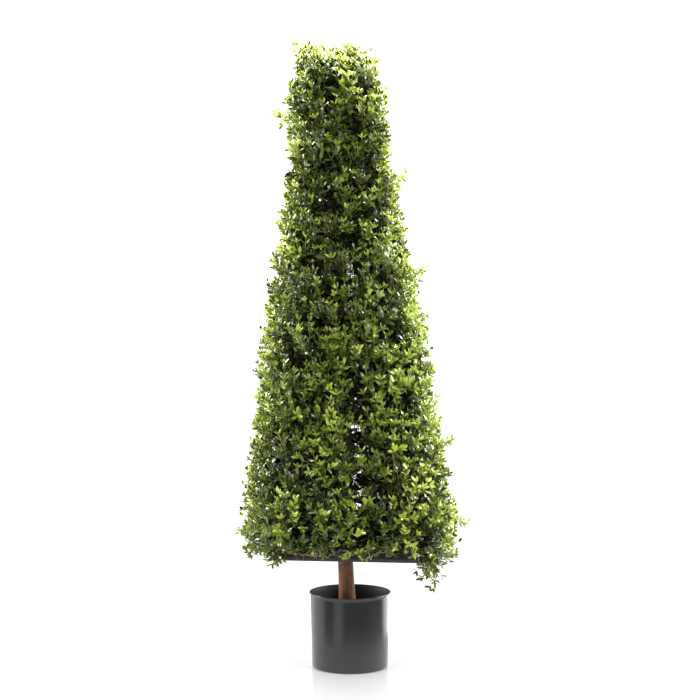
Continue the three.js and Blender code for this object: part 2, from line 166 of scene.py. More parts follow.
# %% Floor
floor_look, _ = new_material("white_acrylic_floor", "f6f6f6", 0.12)
bm = bmesh.new()
bmesh.ops.create_circle(bm, segments=96, radius=2.6, cap_ends=True)
floor = bpy.data.objects.new("floor", mesh_from(bm, "floor"))
scene.collection.objects.link(floor)
floor.data.materials.append(floor_look)
floor.visible_glossy = False
print("floor across:", round(floor.dimensions.x, 2))

# %% [markdown]
# ## Cards that the pot mirrors
#
# A studio is dark behind the camera, and glossy things show it: the front of the crown is
# deep, and the pot is black with a few soft light bands. A bent card high up stands in for
# the dark room. Flat ones under the floor begin 0.3 m from the pot, so that its lower third
# mirrors white, and the openings between them become the bands. A card far to the right
# glows though it is no lamp; its reflection is a painted highlight, the pale strip along the pot's
# right edge.

# %% Cards
UP = Vector((0, 0, 1))
CARD_STEPS = 48
CARD_EDGE = 1.6  # how far the cards under the floor reach
BELOW_FLOOR = -1 * MM
# How many degrees each card runs to the left and to the right of the front.
FLOOR_CARDS = [(170, -152), (76, -44), (20, 104)]
# The card to the right glows though it is no lamp, for a painted highlight on the pot.
GLOWING_CARD = (-110, 168)


def unseen_card(name, look, inner, outer, left, right):
    """A matt card spun about the pot from one (radius, height) edge to another."""
    bm = bmesh.new()
    start = Matrix.Rotation(math.radians(-left), 3, "Z") @ Vector((0, -1, 0))
    ends = [bm.verts.new(start * radius + UP * height) for radius, height in (inner, outer)]
    bmesh.ops.spin(
        bm,
        geom=ends + [bm.edges.new(ends)],
        cent=(0, 0, 0),
        axis=UP,
        angle=math.radians(left + right),
        steps=CARD_STEPS,
    )
    card = bpy.data.objects.new(name, mesh_from(bm, name))
    scene.collection.objects.link(card)
    card.data.materials.append(look)
    card.visible_camera = False
    return card


def floor_card(name, look, start, left, right):
    """A flat card under the floor, from a start radius outwards, that only mirrors show."""
    card = unseen_card(name, look, (start, BELOW_FLOOR), (CARD_EDGE, BELOW_FLOOR), left, right)
    card.visible_diffuse = False
    card.visible_shadow = False


card_look, _ = new_material("black_card", "0c0c0c", 0.9)
unseen_card("dark_room", card_look, (3.8, 1.0), (3.8, 3.6), 80, 80)
for number, turns in enumerate(FLOOR_CARDS):
    floor_card(f"floor_card_{number}", card_look, 0.3, *turns)

# A card that glows though it is no lamp. Only mirrors show it, as a painted highlight on the pot.
glowing_card_look, glowing_card_shader = new_material("glowing_white_card", "ffffff", 0.9)
glowing_card_shader.inputs["Emission Color"].default_value = linear("ffffff")
glowing_card_shader.inputs["Emission Strength"].default_value = 2.2
floor_card("glowing_floor_card", glowing_card_look, 0.33, *GLOWING_CARD)
print("cards under the floor:", len(FLOOR_CARDS) + 1)

# %% [markdown]
# ## Lights and backdrop
#
# A large soft light on each side, a little behind, makes the outer leaves glow. One above
# lifts the top, and two weak ones in front open the shadows. The side and top lights are
# kept off the floor, as flags would do in a studio, so that it stays only just white.

# %% Lights
CROWN_MIDDLE = Vector((0, 0, 0.75))
off_floor = bpy.data.collections.new("all_but_the_floor")
off_floor.objects.link(floor)
off_floor.collection_objects[0].light_linking.link_state = "EXCLUDE"


def softbox(name, place, width, height, watts):
    """A rectangular light at place that faces the crown's middle."""
    light = bpy.data.objects.new(name, bpy.data.lights.new(name, "AREA"))
    light.data.shape = "RECTANGLE"
    light.data.size = width
    light.data.size_y = height
    light.data.energy = watts
    light.location = place
    light.rotation_euler = (CROWN_MIDDLE - Vector(place)).to_track_quat("-Z", "Y").to_euler()
    light.visible_camera = False
    scene.collection.objects.link(light)
    return light


gridded = [
    softbox("left_light", (-1.8, 0.6, 1.55), 0.9, 1.6, 172),
    softbox("right_light", (1.8, 0.6, 1.55), 0.9, 1.6, 228),
    softbox("top_light", (0, 0.3, 2.2), 1.2, 0.8, 225),
]
for light in gridded:
    light.light_linking.receiver_collection = off_floor
softbox("front_left_light", (-1.7, -1.5, 1.7), 0.7, 1.0, 41)
softbox("front_right_light", (1.7, -1.5, 1.7), 0.7, 1.0, 41)

world = bpy.data.worlds.new("white_studio")
world.use_nodes = True
world.node_tree.nodes["Background"].inputs["Color"].default_value = (1, 1, 1, 1)
world.node_tree.nodes["Background"].inputs["Strength"].default_value = 1.3
scene.world = world
scene.view_settings.view_transform = "Standard"
scene.view_settings.look = "Medium Contrast"

# %% [markdown]
# ## The pot
#
# The pot is blow-moulded polypropylene, 1.8 mm thick, with a flared rim and a rounded foot.
# A thin-walled round thing is one profile spun about its axis: the profile runs up the
# outside, over a round lip and down the inside.

# %% Pot
_, pot_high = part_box("pot")
RIM_RADIUS = pot_high.y + 1.2 * MM
POT_HEIGHT = pot_high.z
FOOT_RADIUS = RIM_RADIUS - 5.5 * MM
NECK_RADIUS = RIM_RADIUS - 3.1 * MM
FLARE_HEIGHT = 9 * MM
POT_WALL = 1.8 * MM
POT_FLOOR = 3 * MM
FOOT_EDGE = 3.5 * MM
POT_STEPS = 128


def pot_radius(z):
    """The outer wall's radius at a height: nearly straight, then flaring to the rim."""
    neck_z = POT_HEIGHT - FLARE_HEIGHT
    wall = FOOT_RADIUS + (NECK_RADIUS - FOOT_RADIUS) * min(z / neck_z, 1)
    return wall + (RIM_RADIUS - NECK_RADIUS) * max(0, (z - neck_z) / FLARE_HEIGHT) ** 2


def pot_profile():
    """Points (radius, height) from the middle of the underside to the middle of the floor."""
    foot = [math.pi / 2 * i / 6 for i in range(7)]
    points = [(0, 0)]
    points += [
        (pot_radius(0) - FOOT_EDGE * (1 - math.sin(a)), FOOT_EDGE * (1 - math.cos(a))) for a in foot
    ]
    lip = POT_WALL / 2
    rise = [POT_HEIGHT * i / 24 for i in range(1, 22)] + [POT_HEIGHT - 8 * MM, POT_HEIGHT - 4 * MM]
    outer = [(pot_radius(z), z) for z in sorted(rise)]
    top = [
        (RIM_RADIUS - lip + lip * math.cos(a), POT_HEIGHT - lip + lip * math.sin(a))
        for a in [math.pi * i / 6 for i in range(7)]
    ]
    inner = [(r - POT_WALL, z) for r, z in reversed(outer)]
    return points + outer + top + inner + [(pot_radius(0) - POT_WALL, POT_FLOOR), (0, POT_FLOOR)]


def build_pot():
    bm = bmesh.new()
    points = [bm.verts.new((r, 0, z)) for r, z in pot_profile()]
    edges = [bm.edges.new(pair) for pair in zip(points, points[1:])]
    bmesh.ops.spin(
        bm,
        geom=points + edges,
        cent=(0, 0, 0),
        axis=(0, 0, 1),
        angle=2 * math.pi,
        steps=POT_STEPS,
        use_merge=True,
    )
    bmesh.ops.remove_doubles(bm, verts=bm.verts, dist=1e-6)
    bmesh.ops.recalc_face_normals(bm, faces=bm.faces)
    return mesh_from(bm, "pot_shell")


def polypropylene():
    """Glossy black pot plastic: a faint orange-peel skin and drag marks up the wall."""
    material, shader = new_material("moulded_polypropylene", "242527", 0.24, IOR=1.49)
    place = add_node(material, "ShaderNodeTexCoord").outputs["Object"]
    tall = add_node(material, "ShaderNodeMapping", {"Vector": place}, Scale=(1, 1, 0.08))
    upright = {"Vector": tall.outputs[0]}
    drag = add_node(material, "ShaderNodeTexNoise", upright, Scale=160, Detail=3)
    skin = add_node(material, "ShaderNodeTexNoise", {"Vector": place}, Scale=900, Detail=1)
    rough = add_node(
        material, "ShaderNodeMapRange", {"Value": drag.outputs["Fac"]}, To_Min=0.2, To_Max=0.28
    )
    first = add_node(
        material, "ShaderNodeBump", {"Height": skin.outputs["Fac"]}, Strength=0.08, Distance=0.0002
    )
    bump = add_node(
        material,
        "ShaderNodeBump",
        {"Height": drag.outputs["Fac"], "Normal": first.outputs[0]},
        Strength=0.1,
        Distance=0.0005,
    )
    feed(material, shader, Roughness=rough.outputs[0], Normal=bump.outputs[0])
    return material


pot = piece_from("pot_shell", build_pot(), polypropylene())
# The inner wall is rougher and painted darker than the outside: painted shade inside the pot.
inside_painted_shade_look, _ = new_material("dull_painted_shade_polypropylene", "17181a", 0.6)
pot.data.materials.append(inside_painted_shade_look)
for face in pot.data.polygons:
    if face.center.z > FOOT_EDGE and face.normal.xy.dot(face.center.xy) < 0:
        face.material_index = 1
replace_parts(pot, "pot")

# %% [markdown]
# ## Cement in the pot
#
# The cement is a plain cast plug that only shows from above, so the model's own solid stays
# and gets the look of cast cement: grey-black in cloudy tones, rough, with sand grains.

# %% Cement
def cement():
    material, shader = new_material("cast_cement", "2b2a28", 0.9)
    place = add_node(material, "ShaderNodeTexCoord").outputs["Object"]
    cloud = add_node(material, "ShaderNodeTexNoise", {"Vector": place}, Scale=60, Detail=6)
    grain = add_node(material, "ShaderNodeTexNoise", {"Vector": place}, Scale=1400, Detail=2)
    tone = add_node(material, "ShaderNodeValToRGB", {"Fac": cloud.outputs["Fac"]})
    tone.color_ramp.elements[0].position = 0.35
    tone.color_ramp.elements[0].color = linear("1d1c1b")
    tone.color_ramp.elements[1].position = 0.7
    tone.color_ramp.elements[1].color = linear("3c3a36")
    bump = add_node(
        material, "ShaderNodeBump", {"Height": grain.outputs["Fac"]}, Strength=0.6, Distance=0.0008
    )
    feed(material, shader, Base_Color=tone.outputs["Color"], Normal=bump.outputs[0])
    return material


def refinish(node, material):
    """Gives a solid of the frame another material, and leaves its mesh as it is."""
    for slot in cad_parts[node].material_slots:
        slot.material = material


refinish("pot_cement", cement())
print("pot_cement refinished")

# %% [markdown]
# ## The pole
#
# The trunk is a natural pole with its bark peeled off: round, slightly lumpy, leaning left,
# with long checks along the grain and a few knots. A tube of rings follows the middle line
# of the model's solid, and each vertex is then pushed in or out along its radius.

# %% Pole
# Each station is (how far to the right, radius, height), in mm.
POLE_STATIONS = [(0, 16.2, 10), (-6, 15.5, 140), (-9, 14.2, 216), (-14, 13.6, 420), (-20, 11, 1050)]
POLE_SIDES = 72
POLE_RING = 4 * MM
SWELL = 0.5 * MM
GRAIN_DEPTH = 0.28 * MM
CHECK_DEPTH = 0.9 * MM
CHECK_START = 0.32  # the noise value above which a check opens
# Each knot is (height in m, turn in radians, radius in mm, how many mm it stands out).
KNOTS = [
    (0.118, -1.9, 7, 1.1),
    (0.153, -1.2, 5, -1.0),
    (0.196, -2.3, 4, 0.8),
    (0.31, -1.4, 7, 1.2),
    (0.62, 1.0, 6, 1.0),
]


def pole_at(z):
    """Middle and radius of the pole at a height in metres, read between its stations."""
    for low, high in zip(POLE_STATIONS, POLE_STATIONS[1:]):
        if z <= high[2] * MM or high is POLE_STATIONS[-1]:
            share = (z / MM - low[2]) / (high[2] - low[2])
            return [(a + (b - a) * share) * MM for a, b in zip(low[:2], high[:2])]


def pole_relief(z, turn, radius):
    """How far the surface stands out here: swellings, checks along the grain, knots."""
    swell = SWELL * (math.sin(z / MM / 37 + 2 * turn) + 0.6 * math.sin(z / MM / 61 - turn))
    around = Vector((math.cos(turn), math.sin(turn), 0)) * radius
    grain = noise.fractal((around + Vector((0, 0, z * 0.10))) * 420, 0.9, 2.0, 4) * GRAIN_DEPTH
    check = noise.noise((around + Vector((0, 0, z * 0.05))) * 260)
    groove = -CHECK_DEPTH * max(0, check - CHECK_START)
    knots = 0
    for knot_z, knot_turn, size, height in KNOTS:
        away = math.remainder(turn - knot_turn, 2 * math.pi) * radius
        distance = math.hypot(away, 0.7 * (z - knot_z)) / (size * MM)
        knots += height * MM * math.exp(-distance * distance) * math.cos(3.5 * min(distance, 1.4))
    return swell + grain + groove + knots


def build_pole():
    low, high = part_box("trunk")
    bm = bmesh.new()
    ring = bmesh.ops.create_circle(bm, segments=POLE_SIDES, radius=1, cap_ends=True)["verts"]
    rings = round((high.z - low.z) / POLE_RING)
    bmesh.ops.translate(bm, verts=ring, vec=(0, 0, low.z))
    faces = list(bm.faces)
    for _ in range(rings):
        grown = bmesh.ops.extrude_face_region(bm, geom=faces)["geom"]
        bmesh.ops.delete(bm, geom=faces, context="FACES_ONLY")
        faces = [g for g in grown if isinstance(g, bmesh.types.BMFace)]
        verts = [g for g in grown if isinstance(g, bmesh.types.BMVert)]
        bmesh.ops.translate(bm, verts=verts, vec=(0, 0, (high.z - low.z) / rings))
    bmesh.ops.holes_fill(bm, edges=[e for e in bm.edges if e.is_boundary], sides=0)
    bmesh.ops.recalc_face_normals(bm, faces=bm.faces)
    for vertex in bm.verts:
        turn = math.atan2(vertex.co.y, vertex.co.x)
        middle, radius = pole_at(vertex.co.z)
        out = radius + pole_relief(vertex.co.z, turn, radius)
        vertex.co = (middle + out * math.cos(turn), out * math.sin(turn), vertex.co.z)
    return mesh_from(bm, "trunk_peeled")


def peeled_wood():
    """Peeled hardwood, rubbed with brown stain: streaks along the grain and patches of stain."""
    material, shader = new_material("peeled_hardwood", "8a6440", 0.55)
    place = add_node(material, "ShaderNodeTexCoord").outputs["Object"]
    long_way = add_node(material, "ShaderNodeMapping", {"Vector": place}, Scale=(1, 1, 0.07))
    grain = {"Vector": long_way.outputs[0]}
    streak = add_node(material, "ShaderNodeTexNoise", grain, Scale=420, Detail=6, Roughness=0.65)
    patch = add_node(material, "ShaderNodeTexNoise", {"Vector": place}, Scale=38, Detail=3)
    tone = add_node(material, "ShaderNodeValToRGB", {"Fac": streak.outputs["Fac"]})
    tone.color_ramp.elements[0].position = 0.3
    tone.color_ramp.elements[0].color = linear("4f2c12")
    tone.color_ramp.elements[1].position = 0.72
    tone.color_ramp.elements[1].color = linear("a0652f")
    stain = add_node(material, "ShaderNodeValToRGB", {"Fac": patch.outputs["Fac"]})
    stain.color_ramp.elements[0].position = 0.38
    stain.color_ramp.elements[0].color = linear("b4a78c")
    stain.color_ramp.elements[1].position = 0.6
    stain.color_ramp.elements[1].color = linear("ffffff")
    both = add_node(material, "ShaderNodeMix", data_type="RGBA", blend_type="MULTIPLY")
    both.inputs[0].default_value = 0.9
    material.node_tree.links.new(tone.outputs["Color"], both.inputs[6])
    material.node_tree.links.new(stain.outputs["Color"], both.inputs[7])
    bump = add_node(
        material, "ShaderNodeBump", {"Height": streak.outputs["Fac"]}, Strength=0.5, Distance=0.0006
    )
    feed(material, shader, Base_Color=both.outputs[2], Normal=bump.outputs[0])
    return material


trunk = piece_from("trunk_peeled", build_pole(), peeled_wood())
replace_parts(trunk, "trunk")

# %% [markdown]
# ## The tray
#
# The tray that the mats stand on is a board with a batten along each side. Sawn timber has
# slightly broken edges, so each solid of the frame is copied and its doubled corners merged,
# and the battens' edges are bevelled. The battens are stained dark, the board is left brown.

# %% Tray
TRAY_NODES = ["tray_plate"] + [f"tray_batten_{side}" for side in ("right", "back", "left", "front")]
EDGE = 0.9 * MM
SHARP_CORNER = 1.0  # radians between faces that meet in a sawn edge


def softened_copy(node):
    """A copy of a frame solid, doubles merged, and sharp edges bevelled except on the plate."""
    bm = bmesh.new()
    bm.from_mesh(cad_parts[node].data)
    bmesh.ops.remove_doubles(bm, verts=bm.verts, dist=1e-5)
    bmesh.ops.dissolve_limit(bm, angle_limit=0.02, verts=bm.verts, edges=bm.edges)
    sharp = [e for e in bm.edges if len(e.link_faces) == 2 and e.calc_face_angle() > SHARP_CORNER]
    if node != "tray_plate":
        bmesh.ops.bevel(
            bm, geom=sharp, offset=EDGE, affect="EDGES", segments=2, profile=0.5, material=-1
        )
    mesh = mesh_from(bm, f"{node}_sawn")
    mesh.set_sharp_from_angle(angle=math.radians(40))
    return mesh


def sawn_timber(name, dark, light, along):
    """Sawn, stained timber. Its fibres run along X or Y, about a millimetre apart."""
    material, shader = new_material(name, light, 0.75)
    place = add_node(material, "ShaderNodeTexCoord").outputs["Object"]
    stretch = (0.06, 1, 1) if along == "x" else (1, 0.06, 1)
    fibre_way = add_node(material, "ShaderNodeMapping", {"Vector": place}, Scale=stretch)
    grain = {"Vector": fibre_way.outputs[0]}
    fibre = add_node(material, "ShaderNodeTexNoise", grain, Scale=700, Detail=5)
    tone = add_node(material, "ShaderNodeValToRGB", {"Fac": fibre.outputs["Fac"]})
    tone.color_ramp.elements[0].position = 0.3
    tone.color_ramp.elements[0].color = linear(dark)
    tone.color_ramp.elements[1].position = 0.75
    tone.color_ramp.elements[1].color = linear(light)
    bump = add_node(
        material, "ShaderNodeBump", {"Height": fibre.outputs["Fac"]}, Strength=0.5, Distance=0.0005
    )
    feed(material, shader, Base_Color=tone.outputs["Color"], Normal=bump.outputs[0])
    return material


board_look = sawn_timber("sawn_board", "2a211b", "58473b", "x")
batten_looks = {
    "x": sawn_timber("stained_batten_x", "0d0b0a", "251f1c", "x"),
    "y": sawn_timber("stained_batten_y", "0d0b0a", "251f1c", "y"),
}
for node in TRAY_NODES:
    along = "x" if node.endswith(("front", "back")) else "y"
    look = board_look if node == "tray_plate" else batten_looks[along]
    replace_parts(piece_from(f"{node}_sawn", softened_copy(node), look), node)

# %% [markdown]
# ## The crown's frame
#
# The foliage grows by the rule of the model's solids. A face of the crown is worked out with
# +X outwards and +Y across it, and a matrix then turns it to its side and gives it the
# crown's lean and tilt. The half width of the mats and the reach of the leaves outside them
# both shrink towards the top. The reach has a slight waist below the crest, which the solids
# don't have.

# %% Sizes of the crown
tray_low, tray_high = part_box("tray_plate")
TOTAL_HEIGHT = cad_high.z
TRAY_SIDE = tray_high.y - tray_low.y
PLATE_THICKNESS = 6 * MM
TRAY_Z = (tray_low.z + tray_high.z - PLATE_THICKNESS) / 2
MATS_Z = TRAY_Z + 26.3 * MM
MATS_TOP_Z = 1075 * MM
MATS_HALF_FOOT = TRAY_SIDE / 2
MATS_HALF_TOP = 30 * MM
CROWN_LEAN = -22 * MM / (MATS_TOP_Z - TRAY_Z)
CROWN_TILT = -0.021
REACH_FOOT = 76 * MM
REACH_TOP = 52 * MM
WAIST_Z, WAIST_HALF, WAIST_DEPTH = 860 * MM, 110 * MM, 13 * MM
TIERS = 4
FACES = ["right", "back", "left", "front"]

crown_frame = Matrix(
    (
        (1, 0, CROWN_LEAN, -CROWN_LEAN * TRAY_Z),
        (0, 1, 0, 0),
        (CROWN_TILT, 0, 1, 0),
        (0, 0, 0, 1),
    )
)
face_frames = [crown_frame @ Matrix.Rotation(q * math.pi / 2, 4, "Z") for q in range(4)]


def mix(low, high, share):
    return low + (high - low) * share


def rise(z):
    return (z - TRAY_Z) / (MATS_TOP_Z - TRAY_Z)


def half_width(z):
    return mix(MATS_HALF_FOOT, MATS_HALF_TOP, rise(z))


def reach(z):
    """How far leaves stand out of the net: less higher up, and least at the waist."""
    waist = WAIST_DEPTH * math.exp(-(((z - WAIST_Z) / WAIST_HALF) ** 2))
    return mix(REACH_FOOT, REACH_TOP, min(rise(z), 1)) - waist


def section_radius(half, out, turn):
    """Distance from the axis to the crown's square section, its corners cut back."""
    flat = (half + out) / math.cos(turn)
    corner = (2 * half + math.sqrt(2) * out) / (math.cos(turn) + abs(math.sin(turn)))
    return min(flat, corner)


def outward(turn, radius, z):
    return Vector((radius * math.cos(turn), radius * math.sin(turn), z))

print("tray side", round(TRAY_SIDE, 4), "at", round(TRAY_Z, 4))

# %% [markdown]
# ## The nets
#
# Each mat is moulded on a net of thin bars, 7 mm apart. It hardly shows, but it breaks up
# the daylight in the few places where one can look through the crown. Bars are boxes, one
# for each line of the net, and the net is left out where the mats part.

# %% Nets
NET_PITCH = 7 * MM
NET_BAR = 1.6 * MM
PARTING = {"left": 7 * MM, "right": 25 * MM, "bottom": 272 * MM, "top": 446 * MM}


def add_bar(bm, start, end, frame_matrix):
    """A straight bar of the net between two points of a face."""
    along = end - start
    turn = along.to_track_quat("Z", "Y").to_matrix().to_4x4()
    size = Matrix.Diagonal((NET_BAR, NET_BAR, along.length, 1))
    place = Matrix.Translation((start + end) / 2) @ turn @ size
    bmesh.ops.create_cube(bm, size=1, matrix=frame_matrix @ place)


def net_lines(face):
    """Start and end of each bar in the face's own frame."""
    count = int((MATS_TOP_Z - MATS_Z) / NET_PITCH)
    rows = [MATS_Z + i * NET_PITCH for i in range(count + 1)]
    open_side = {"front": 1, "back": -1}.get(face, 0)
    gap = sorted((open_side * PARTING["left"], open_side * PARTING["right"]))
    for z in rows:
        half = half_width(z)
        if open_side and PARTING["bottom"] < z < PARTING["top"]:
            yield Vector((half, -half, z)), Vector((half, gap[0], z))
            yield Vector((half, gap[1], z)), Vector((half, half, z))
        else:
            yield Vector((half, -half, z)), Vector((half, half, z))
    columns = int(MATS_HALF_FOOT / NET_PITCH)
    for across in [i * NET_PITCH for i in range(-columns, columns + 1)]:
        share = (MATS_HALF_FOOT - abs(across)) / (MATS_HALF_FOOT - MATS_HALF_TOP)
        top = mix(TRAY_Z, MATS_TOP_Z, min(share, 1))
        if top - MATS_Z < NET_PITCH:
            continue
        low = Vector((half_width(MATS_Z), across, MATS_Z))
        high = Vector((half_width(top), across, top))
        if open_side and gap[0] < across < gap[1]:
            tall = top - MATS_Z
            yield low, low.lerp(high, (PARTING["bottom"] - MATS_Z) / tall)
            yield low.lerp(high, (PARTING["top"] - MATS_Z) / tall), high
        else:
            yield low, high


net_look, _ = new_material("moulded_net_polyethylene", "20281a", 0.6)
bm = bmesh.new()
for face, face_frame in zip(FACES, face_frames):
    for start, end in net_lines(face):
        add_bar(bm, start, end, face_frame)
nets = piece_from("mat_nets", mesh_from(bm, "mat_nets"), net_look)
nets.data.set_sharp_from_angle(angle=1.0)

# %% [markdown]
# ## One leaf
#
# A boxwood leaf is a small oval, widest past its middle, with a blunt tip and a ridge along
# its midrib. At about 15 mm it needs only a few faces: a grid of three cells by two is bent
# to the outline, its ends are pulled to points, and its underside is closed with one face,
# so that light can travel through the plastic from back to front. Four curls are enough to
# keep the leaves from looking alike.

# %% Leaf shapes
LEAF_SLENDER = 0.44  # width over length
LEAF_OUTLINE = [(0, 0), (0.3, 0.84), (0.66, 0.94), (1, 0)]  # shares of length and of width
LEAF_RIDGE = 0.08
LEAF_CURLS = [-0.1, 0, 0.07, 0.15]


def leaf_shape(curl):
    """A leaf of length 1 along +X with its upper side to +Z, as (points, triangles)."""
    bm = bmesh.new()
    bmesh.ops.create_grid(bm, x_segments=3, y_segments=2, size=0.5)
    for vertex in bm.verts:
        along, wide = LEAF_OUTLINE[round((vertex.co.x + 0.5) * 3)]
        side = round(vertex.co.y * 2)
        ridge = LEAF_RIDGE * wide * (1 - abs(side))
        vertex.co = (along, side * wide * LEAF_SLENDER / 2, ridge - curl * along**2)
    bmesh.ops.remove_doubles(bm, verts=bm.verts, dist=1e-4)
    bmesh.ops.edgeloop_fill(bm, edges=[e for e in bm.edges if e.is_boundary])
    bmesh.ops.recalc_face_normals(bm, faces=bm.faces)
    bmesh.ops.triangulate(bm, faces=bm.faces)
    bm.verts.index_update()
    points = np.array([v.co for v in bm.verts])
    triangles = np.array([[v.index for v in f.verts] for f in bm.faces])
    bm.free()
    return points, triangles


leaf_shapes = [leaf_shape(curl) for curl in LEAF_CURLS]
print("a leaf has", len(leaf_shapes[0][1]), "triangles")

# %% [markdown]
# ## Leaf plastics
#
# The leaves are moulded from polyethylene in a few greens and pressed onto the sprigs, the
# fresh greens at the tips. Each green is its own material with one plain colour, dealt out
# by spray. Thin plastic lets light through, which subsurface scattering gives: its mean path
# is about the thickness of a leaf.

# %% Leaf materials
# Each green is [colour, share of light that passes through it].
# The darker greens, which leaves near the net take, are partly painted shade.
LEAF_GREENS = {
    "shade": ("252f0c", 0.15),
    "deep": ("303d0d", 0.22),
    "mid": ("3b480e", 0.3),
    "olive": ("4a5a11", 0.36),
    "grass": ("5d6e1a", 0.38),
    "fresh": ("778a27", 0.46),
    "lime": ("8f9f38", 0.5),
}


def leaf_plastic(green, colour, passing):
    material, _ = new_material(
        f"{green}_polyethylene",
        colour,
        0.26,
        IOR=1.5,
        Specular_IOR_Level=0.5,
        Subsurface_Weight=passing,
        Subsurface_Radius=(1.0, 1.0, 0.55),
        Subsurface_Scale=1.2 * MM,
    )
    return material


leaf_looks = {green: leaf_plastic(green, *look) for green, look in LEAF_GREENS.items()}
print("leaf plastics:", list(leaf_looks))

# %% [markdown]
# ## The rule for twigs
#
# A twig is a short bowed stem. Its leaves stand in pairs, each pair a quarter turn from the
# last, wide open at its foot and closing towards its tip. A mass of foliage knows its place,
# how deep in the crown a point lies, what space it keeps to, and its own seeded random
# numbers. It takes the green of a leaf from its depth: fresh at the edge, where the new growth
# is, and dark at the net, which is partly painted shade inside the crown.

# %% A mass of foliage and its twigs
LEAF_LENGTH = 15 * MM
PAIR_PITCH = 0.58  # of the leaf length
PAIR_OPEN = [58, 52]  # degrees between leaf and twig, at its foot and its tip
TIP_OPEN = 30  # the last two leaves nearly close the twig
LEAF_LIFT = 0.25  # how far leaves turn upwards, to the light
TONE_DEPTHS = [0.36, 0.72]  # depths where a spray's second and third green begin
TIP_FRESHER = 0.42  # how much fresher a twig's tip is than its foot, as a depth
LEAF_SCATTER = 0.12  # of its direction
LEAF_ROLL = 0.25  # of the way its upper side faces
LEAF_SIZES = [0.85, 1.12]
END_LEAF, TIP_LEAF = 0.92, 0.8  # lengths at the end of a twig and at its very tip

leaf_places = {green: [[] for _ in leaf_shapes] for green in LEAF_GREENS}
twig_curves = []


def curve_point(curve, share):
    root, bend, tip = curve
    return root.lerp(bend, share).lerp(bend.lerp(tip, share), share)


def turned(vector, angle, axis):
    return Matrix.Rotation(angle, 3, axis) @ vector


class Mass:
    """Foliage that grows in one frame, keeps to one space and has its own random numbers."""

    def __init__(self, place, depth, keeps, seed):
        self.place, self.depth, self.keeps = place, depth, keeps
        self.random = Random(seed).random

    def between(self, low, high):
        return mix(low, high, self.random())

    def jittered(self, vector, amount):
        return (vector + Vector([self.between(-amount, amount) for _ in range(3)])).normalized()

    def leaf(self, green, root, direction, flatwise, length):
        """One leaf at root, its upper side towards flatwise."""
        if not self.keeps(root + direction * length):
            return
        across = flatwise.cross(direction).normalized()
        turn = Matrix((direction, across, direction.cross(across))).transposed().to_4x4()
        spot = Matrix.Translation(root) @ turn @ Matrix.Scale(length, 4)
        shape = int(self.random() * len(leaf_shapes))
        leaf_places[green][shape].append(self.place @ spot)

    def twig(self, curve, greens, bare=0.15, leaf_length=LEAF_LENGTH):
        """A twig along the curve, bare up to a share of its length, with its pairs of leaves."""
        root, bend, tip = curve
        twig_curves.append([self.place @ curve_point(curve, i / 2) for i in range(3)])
        pairs = max(2, round((tip - root).length * (1 - bare) / (PAIR_PITCH * leaf_length)))
        turn = self.random() * math.pi
        for pair in range(pairs):
            share = mix(bare, 1, pair / (pairs - 1))
            at = curve_point(curve, share)
            depth = self.depth(at) + TIP_FRESHER * (share - 0.5)
            green = greens[sum(depth > d for d in TONE_DEPTHS)]
            along = (bend.lerp(tip, share) - root.lerp(bend, share)).normalized()
            side = turned(along.orthogonal().normalized(), turn, along)
            opening = math.radians(mix(*PAIR_OPEN, share))
            length = leaf_length * mix(1.0, END_LEAF, share)
            for axis in (side, -side):
                opened = turned(along, opening, axis) + UP * LEAF_LIFT
                direction = self.jittered(opened, LEAF_SCATTER)
                flatwise = self.jittered(along, LEAF_ROLL)
                self.leaf(green, at, direction, flatwise, length * self.between(*LEAF_SIZES))
            turn += math.pi / 2
        for axis in (side.cross(along), along.cross(side)):
            direction = self.jittered(turned(along, math.radians(TIP_OPEN), axis), LEAF_SCATTER)
            self.leaf(green, tip, direction, self.jittered(along, LEAF_ROLL), length * TIP_LEAF)


# %% [markdown]
# ## The rule for sprays
#
# A spray is a stem from the net to the edge of the crown's reach. Where the model's solids
# have three large leaves round a stem, the real sprig has side twigs. Each twig is turned
# from the last by the golden angle and bows upwards. One in five carries new, pale leaves
# and stands out like a star. A few low twigs with large leaves lie close to the net and
# keep the crown dark inside: their leaves block light, and their darkest greens are painted shade.

# %% Sprays
# Three greens from the net outwards, and how many cards of a pack are dealt with them.
GREENS = {
    ("shade", "deep", "mid"): 34,
    ("shade", "deep", "olive"): 22,
    ("shade", "mid", "grass"): 20,
    ("deep", "mid", "fresh"): 14,
    ("deep", "olive", "fresh"): 5,
    ("deep", "olive", "lime"): 5,
}
NEW_GREENS = [("mid", "grass", "fresh"), ("mid", "fresh", "lime")]
NEW_TWIGS = 0.2  # the share of twigs that carry new, pale growth
GOLDEN_ANGLE = math.radians(137.5)
# Shares of the stem where its side twigs leave it.
TWIG_SHARES = [0.08, 0.18, 0.28, 0.38, 0.48, 0.56, 0.64, 0.72, 0.8]
TWIG_SPREAD = [56, 30]  # degrees between twig and stem, at the net and at the tip
TWIG_LENGTH = 0.62  # of the stem's length
TWIG_LIFT = [-0.1, 0.6]  # how much a twig's end rises over its length, at the foot and above
LIFT_RISE = 0.12  # the share of the crown's height where it reaches the full lift
TWIG_SCATTER = [0.8, 1.05]
TWIG_BEND = 0.55  # the share of a twig's length where it turns up
STEM_BARE = 0.4
STEM_SAG = 0.3
LOW_TWIGS = 5
LOW_START, LOW_STEP = 0.04, 0.05  # shares of the stem where low twigs leave it
LOW_SPREAD = 82
LOW_LENGTH = 0.5  # of the stem's length
LOW_LEAF = 25 * MM
# The low twigs take the darkest greens: painted shade close to the net.
LOW_GREENS = ("shade", "shade", "deep")


def deal_greens(random):
    """One of the sets of greens, as often as it has cards."""
    card = random() * sum(GREENS.values())
    for greens, cards in GREENS.items():
        card -= cards
        if card < 0:
            return greens


